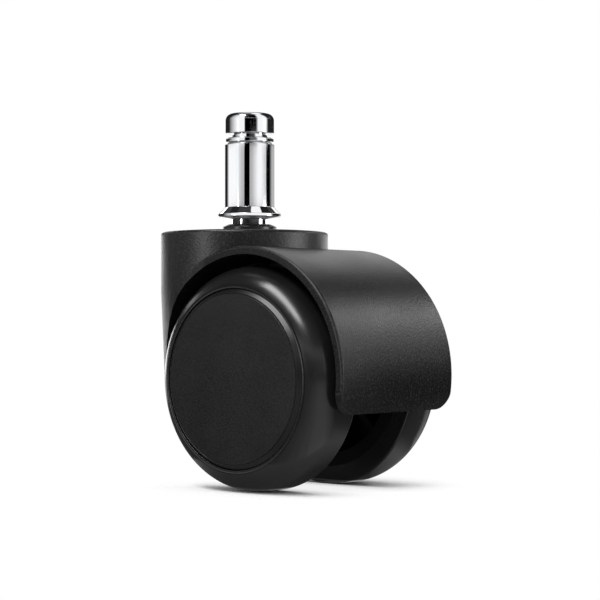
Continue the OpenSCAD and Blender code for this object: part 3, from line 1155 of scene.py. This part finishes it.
@dataclass
class Studio:
    """Camera, floor, lamps and the cards that the caster reflects."""

    eye: Triple = (270.50, -293.73, -24.97)
    back: Triple = (0.65629, -0.75444, -0.010577)
    lens: float = 106.51
    sensor: float = 36.0
    clip: Range = (0.01, 50.0)
    middle: Triple = (12.0, 0.0, -30.0)
    even_light: float = 0.5
    floor_z: float = -61.7
    floor_half: float = 4.0
    floor_tone: Triple = (0.94, 0.94, 0.94)
    shadow_reach: float = 0.014
    shadow_samples: int = 4
    shadow_fade: Range = (0.3, 0.9)
    shadow_end: Range = (0.06, 0.075)
    ring_brightness: float = 1.15
    ring_columns: int = 181
    card_columns: int = 49
    card_rows: int = 25
    least_reach: float = 0.0001

    @property
    def heading(self) -> float:
        """The angle about Z, in radians, of the camera's direction as the caster sees it."""
        return float(np.arctan2(self.back[1], self.back[0]))

    @property
    def centre(self) -> Array:
        """The point that the lamps and cards stand round, in metres."""
        return np.array(self.middle) * MM

    def toward(self, turn: Array | float, rise: Array | float = 0.0) -> Array:
        """Unit vectors turned to the right of the camera's direction and raised.

        With a, the camera's heading plus the turn, a vector is (cos a cos rise, sin a cos rise, sin rise).

        Args:
            turn: degrees to the right.
            rise: degrees above level.

        Returns:
            The vectors, along the last axis.
        """
        angle, tilt = np.broadcast_arrays(np.radians(turn) + self.heading, np.radians(rise))
        return np.stack([np.cos(angle) * np.cos(tilt), np.sin(angle) * np.cos(tilt), np.sin(tilt)], axis=-1)

    def camera(self) -> None:
        """Puts the camera where the photograph was taken from."""
        data = bpy.data.cameras.new("camera")
        data.lens = self.lens
        data.sensor_width = self.sensor
        data.clip_start, data.clip_end = self.clip
        made = placed("camera", data)
        made.location = Vector(self.eye) * MM
        made.rotation_euler = (-Vector(self.back)).to_track_quat("-Z", "Y").to_euler()
        bpy.context.scene.camera = made

    def lamp(self, box: SoftBox | TopBox, where: Array) -> Piece:
        """Makes a rectangular lamp that the camera does not see.

        Args:
            box: its name, size and radiance.
            where: its middle, in metres.

        Returns:
            The lamp, facing down.
        """
        data = bpy.data.lights.new(box.name, "AREA")
        data.shape = "RECTANGLE"
        data.size, data.size_y = box.size
        data.energy = float(np.pi * np.prod(box.size) * box.radiance)
        made = placed(box.name, data)
        made.location = where
        made.visible_camera = False
        return made

    def soft_box(self, box: SoftBox) -> None:
        """Hangs a soft box that faces the caster.

        Args:
            box: the soft box.
        """
        direction = self.toward(box.turn, box.rise)
        made = self.lamp(box, self.centre + direction * box.away)
        made.rotation_euler = Vector(direction).to_track_quat("Z", "Y").to_euler()

    def top_box(self, box: TopBox) -> None:
        """Hangs a soft box level over the caster.

        Args:
            box: the soft box.
        """
        level = self.toward(0.0) * box.ahead + self.toward(90.0) * box.right
        made = self.lamp(box, self.centre + level + [0.0, 0.0, box.height])
        made.rotation_euler = (0.0, 0.0, self.heading + float(np.radians(box.spin)))

    def world(self) -> None:
        """White background for camera, gloss and glass rays, and even light for the rest."""
        world = bpy.data.worlds.new("studio")
        graph = Graph(world)
        path = graph.add("ShaderNodeLightPath").outputs
        seen = graph.sum("MAXIMUM", path["Is Camera Ray"], path["Is Glossy Ray"])
        seen = graph.sum("MAXIMUM", seen, path["Is Transmission Ray"])
        strength = graph.span(seen, (0.0, 1.0), (self.even_light, 1.0), smooth=False)
        background = graph.add("ShaderNodeBackground", {"Color": (1.0, 1.0, 1.0, 1.0), "Strength": strength})
        graph.show(background.outputs["Background"])
        world.cycles.sampling_method = "NONE"
        bpy.context.scene.world = world

    def floor(self) -> None:
        """Lays a pale floor that keeps the shadow close under the caster and is plain white elsewhere."""
        white = Glow("floor", 1.0)
        matte = white.add("ShaderNodeBsdfDiffuse", {"Color": (*self.floor_tone, 1.0)})
        reach = {"Distance": self.shadow_reach}
        open_sky = white.add("ShaderNodeAmbientOcclusion", reach, samples=self.shadow_samples)
        clear = white.span(open_sky.outputs["AO"], self.shadow_fade)
        from_stem = white.length(white.moved(scale=(1.0, 1.0, 0.0)))
        far = white.span(from_stem, self.shadow_end, smooth=False)
        share = white.sum("MAXIMUM", clear, far)
        inputs = {"Fac": share, 1: matte.outputs["BSDF"], 2: white.shader.outputs["Emission"]}
        white.show(white.add("ShaderNodeMixShader", inputs).outputs["Shader"])
        ends = (-self.floor_half, self.floor_half)
        points = np.stack(np.meshgrid(ends, ends, self.floor_z * MM), axis=-1).reshape(2, 2, 3)
        sheet("floor", points, white.material)

    def reflected(self, name: str, points: Array, finish: Finish, blocks: bool = False) -> None:
        """Hangs a sheet that only reflections see.

        Args:
            name: the sheet's name.
            points: its grid of points, in metres.
            finish: its material.
            blocks: whether it also keeps the lamps' light off what is behind it.
        """
        made = sheet(name, points, finish)
        made.visible_camera = False
        made.visible_diffuse = False
        made.visible_transmission = False
        made.visible_shadow = blocks

    def card(self, card: Card) -> None:
        """Hangs a card on its part of a sphere round the caster.

        Args:
            card: the card.
        """
        turns = np.linspace(*card.turns, self.card_columns)
        rises = np.linspace(*card.rises, self.card_rows)
        points = self.centre + self.toward(turns[None], rises[:, None]) * card.away
        self.reflected(card.name, points, Glow(card.name, card.brightness).material, card.blocks)

    def floor_flag(self, flag: FloorFlag) -> None:
        """Lays a sector over the floor, from just beside the caster's middle out to its reach.

        Args:
            flag: the sector.
        """
        glow = Glow(flag.name, flag.brightness)
        from_middle = glow.length(glow.moved((-self.middle[0] * MM, 0.0, 0.0), scale=(1.0, 1.0, 0.0)))
        reaches = (flag.inner_reach, flag.reach)
        strength = glow.span(from_middle, reaches, (flag.inner_brightness, flag.brightness), smooth=False)
        glow.join(glow.shader, "Strength", strength)
        rim = self.toward(np.linspace(*flag.turns, self.card_columns))
        level = [self.middle[0] * MM, 0.0, (self.floor_z + flag.lift) * MM]
        points = np.array([self.least_reach, flag.reach])[:, None, None] * rim + level
        self.reflected(flag.name, points, glow.material)

    def ring(self, ring: Ring) -> None:
        """Hangs a ring of cards round the stem; its brightness is a ramp over the turn.

        Args:
            ring: the ring.
        """
        glow = Glow(ring.name, self.ring_brightness)
        axes = glow.axes(glow.moved(spin=-self.heading))
        turn = glow.sum("ARCTAN2", axes["Y"], axes["X"])
        ramp = glow.add("ShaderNodeValToRGB", {"Fac": glow.span(turn, (-np.pi, np.pi), smooth=False)})
        elements = ramp.color_ramp.elements
        elements.remove(elements[1])
        for stripe in ring.stripes:
            for angle in (stripe.start, stripe.end):
                at = (angle - ALL_ROUND[0]) / (ALL_ROUND[1] - ALL_ROUND[0])
                elements.new(at).color = (stripe.brightness, stripe.brightness, stripe.brightness, 1.0)
        elements.remove(elements[0])
        glow.join(glow.shader, "Color", ramp.outputs["Color"])
        wall = self.toward(np.linspace(*ALL_ROUND, self.ring_columns)) * ring.away
        heights = np.array(ring.heights)[:, None, None] * [0.0, 0.0, MM]
        self.reflected(ring.name, wall + heights, glow.material)

    def build(self) -> None:
        """Sets up the whole studio."""
        bpy.context.scene.view_settings.view_transform = "Standard"
        self.camera()
        self.world()
        self.floor()
        self.top_box(KEY_BOX)
        for box in SOFT_BOXES:
            self.soft_box(box)
        for flag in FLOOR_FLAGS:
            self.floor_flag(flag)
        for card in CARDS:
            self.card(card)
        for ring in RINGS:
            self.ring(ring)
        log.info("studio ready, %d cards and %d rings", len(CARDS), len(RINGS))


def main() -> None:
    """Builds the caster's sub-assemblies in order, then the studio."""
    logging.basicConfig(level=logging.INFO, format="%(name)s: %(message)s")
    finishes = Finishes()
    for part in (Stem(), Housing(), AxleSet(), Wheel(Side.RIGHT), Wheel(Side.LEFT)):
        part.build(finishes)
    Studio().build()


if __name__ == "__main__":
    main()
